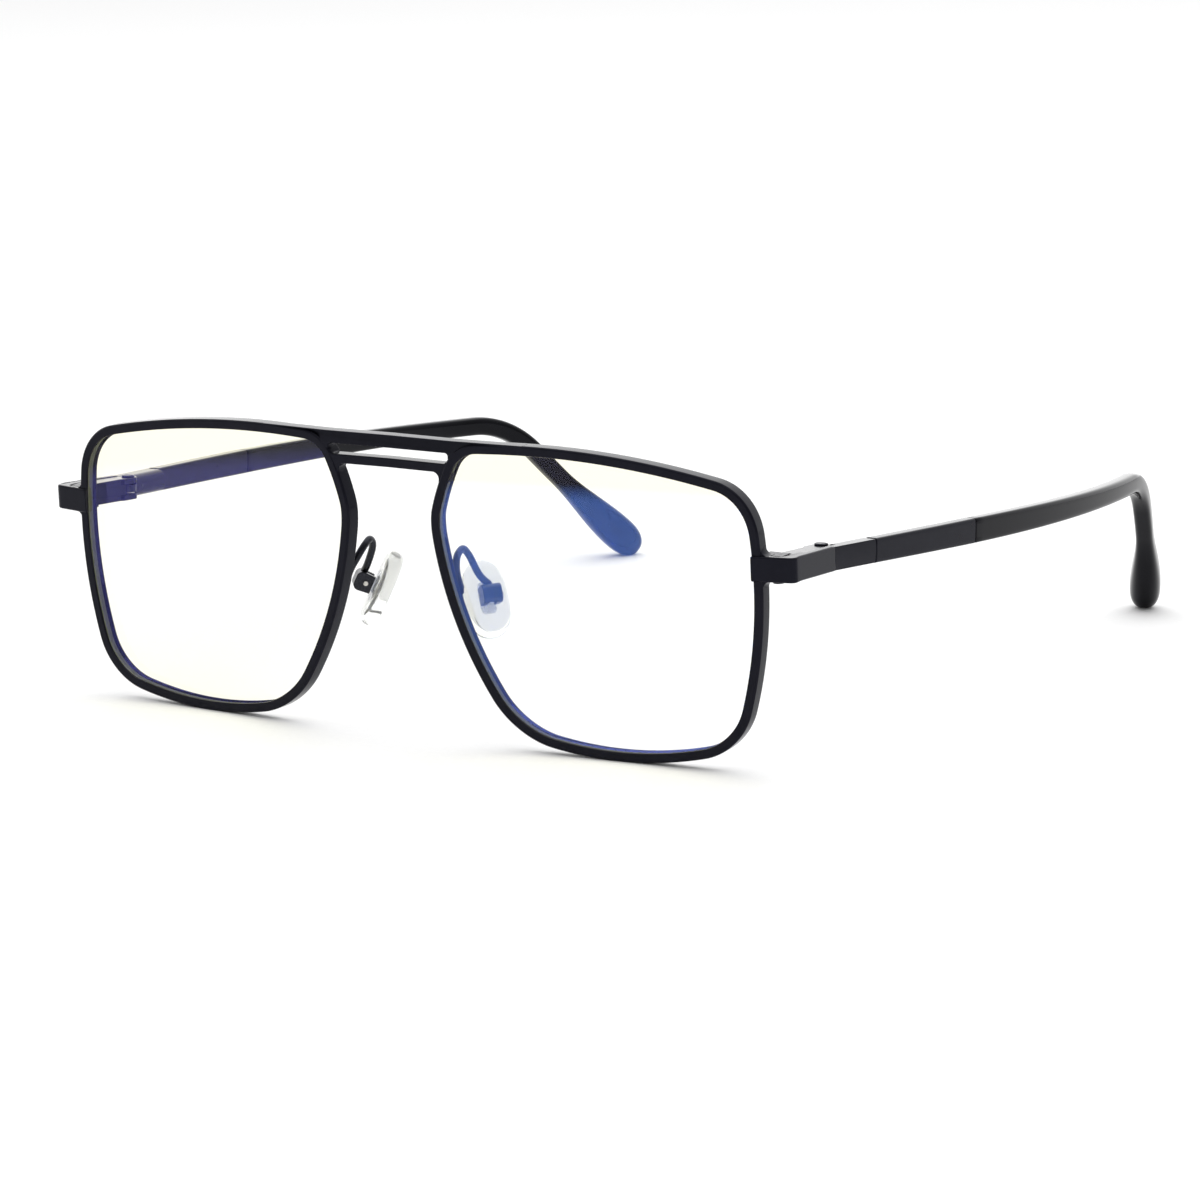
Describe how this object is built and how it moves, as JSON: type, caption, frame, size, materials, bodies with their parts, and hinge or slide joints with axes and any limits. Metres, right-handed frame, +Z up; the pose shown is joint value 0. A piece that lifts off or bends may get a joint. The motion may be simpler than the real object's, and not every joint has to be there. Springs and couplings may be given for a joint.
{
  "type": "blue light glasses",
  "caption": "Full-rim metal glasses with a double bridge, coated lenses that filter blue light, adjustable nose pads and temples on spring hinges with acetate ends",
  "frame": {"origin": "the middle of the footprint, on the surface that the rims and the temple ends stand on", "axes": "+X to the wearer's left, +Y from the lenses back along the temples, +Z up"},
  "size_m": [0.1484, 0.162, 0.0496],
  "materials": {
    "frame_enamel": "satin black lacquer on nickel alloy",
    "dark_steel": "dark plated steel",
    "bright_steel": "bright plated steel",
    "black_acetate": "polished black acetate",
    "coated_lens": "clear lens with a faint warm tint and a blue reflecting coating",
    "clear_silicone": "clear silicone"
  },
  "bodies": {
    "front": {"rim_left": "frame_enamel", "lens_left": "coated_lens", "endpiece_left": "frame_enamel", "lock_block_upper_left": "frame_enamel", "lock_block_lower_left": "frame_enamel", "rim_lock_screw_left": "dark_steel", "pad_arm_left": "dark_steel", "pad_box_left": "dark_steel", "pad_screw_left": "bright_steel", "hinge_screw_left": "dark_steel", "rim_right": "frame_enamel", "lens_right": "coated_lens", "endpiece_right": "frame_enamel", "lock_block_upper_right": "frame_enamel", "lock_block_lower_right": "frame_enamel", "rim_lock_screw_right": "dark_steel", "pad_arm_right": "dark_steel", "pad_box_right": "dark_steel", "pad_screw_right": "bright_steel", "hinge_screw_right": "dark_steel", "top_bridge": "frame_enamel", "lower_bridge": "frame_enamel"},
    "bush_left": {"hinge_bush_left": "bright_steel"},
    "tongue_left": {"hinge_tongue_left": "bright_steel", "spring_retainer_left": "bright_steel", "flex_spring_left": "bright_steel"},
    "temple_left": {"guide_sleeve_left": "bright_steel", "spring_case_left": "frame_enamel", "case_pin_left": "dark_steel", "temple_bar_left": "frame_enamel", "temple_tip_left": "black_acetate"},
    "pad_left": {"nose_pad_left": "clear_silicone", "pad_insert_left": "clear_silicone"},
    "bush_right": {"hinge_bush_right": "bright_steel"},
    "tongue_right": {"hinge_tongue_right": "bright_steel", "spring_retainer_right": "bright_steel", "flex_spring_right": "bright_steel"},
    "temple_right": {"guide_sleeve_right": "bright_steel", "spring_case_right": "frame_enamel", "case_pin_right": "dark_steel", "temple_bar_right": "frame_enamel", "temple_tip_right": "black_acetate"},
    "pad_right": {"nose_pad_right": "clear_silicone", "pad_insert_right": "clear_silicone"}
  },
  "joints": [
    {"name": "fold_left", "type": "hinge", "parent": "front", "child": "bush_left", "pos_m": [0.06735, -0.06044, 0.03255], "axis": [0, 0.0396, 0.9992], "range_deg": [0, 90]},
    {"name": "flex_left", "type": "hinge", "parent": "bush_left", "child": "tongue_left", "pos_m": [0.06735, -0.06044, 0.03255], "axis": [0, 0.0396, 0.9992], "range_deg": [-8, 0], "stiffness_Nm_per_rad": 0.06, "springref_deg": 8.59},
    {"name": "slide_left", "type": "slide", "parent": "tongue_left", "child": "temple_left", "axis": [0.0872, 0.9954, -0.0395], "range_m": [0, 0.00045], "deforming": ["flex_spring_left"]},
    {"name": "rock_left", "type": "hinge", "parent": "front", "child": "pad_left", "pos_m": [0.01221, -0.07026, 0.02313], "axis": [0.6351, 0.7711, 0.0458], "range_deg": [-8, 8]},
    {"name": "fold_right", "type": "hinge", "parent": "front", "child": "bush_right", "pos_m": [-0.06735, -0.06044, 0.03255], "axis": [0, -0.0396, -0.9992], "range_deg": [0, 85]},
    {"name": "flex_right", "type": "hinge", "parent": "bush_right", "child": "tongue_right", "pos_m": [-0.06735, -0.06044, 0.03255], "axis": [0, -0.0396, -0.9992], "range_deg": [-8, 0], "stiffness_Nm_per_rad": 0.06, "springref_deg": 8.59},
    {"name": "slide_right", "type": "slide", "parent": "tongue_right", "child": "temple_right", "axis": [-0.0872, 0.9954, -0.0395], "range_m": [0, 0.00045], "deforming": ["flex_spring_right"]},
    {"name": "rock_right", "type": "hinge", "parent": "front", "child": "pad_right", "pos_m": [-0.01221, -0.07026, 0.02313], "axis": [-0.6351, 0.7711, 0.0458], "range_deg": [-8, 8]}
  ],
  "couplings": [
    {"joint": "slide_left", "follows": "flex_left", "m_per_rad": -0.0029},
    {"joint": "slide_right", "follows": "flex_right", "m_per_rad": -0.0029}
  ]
}
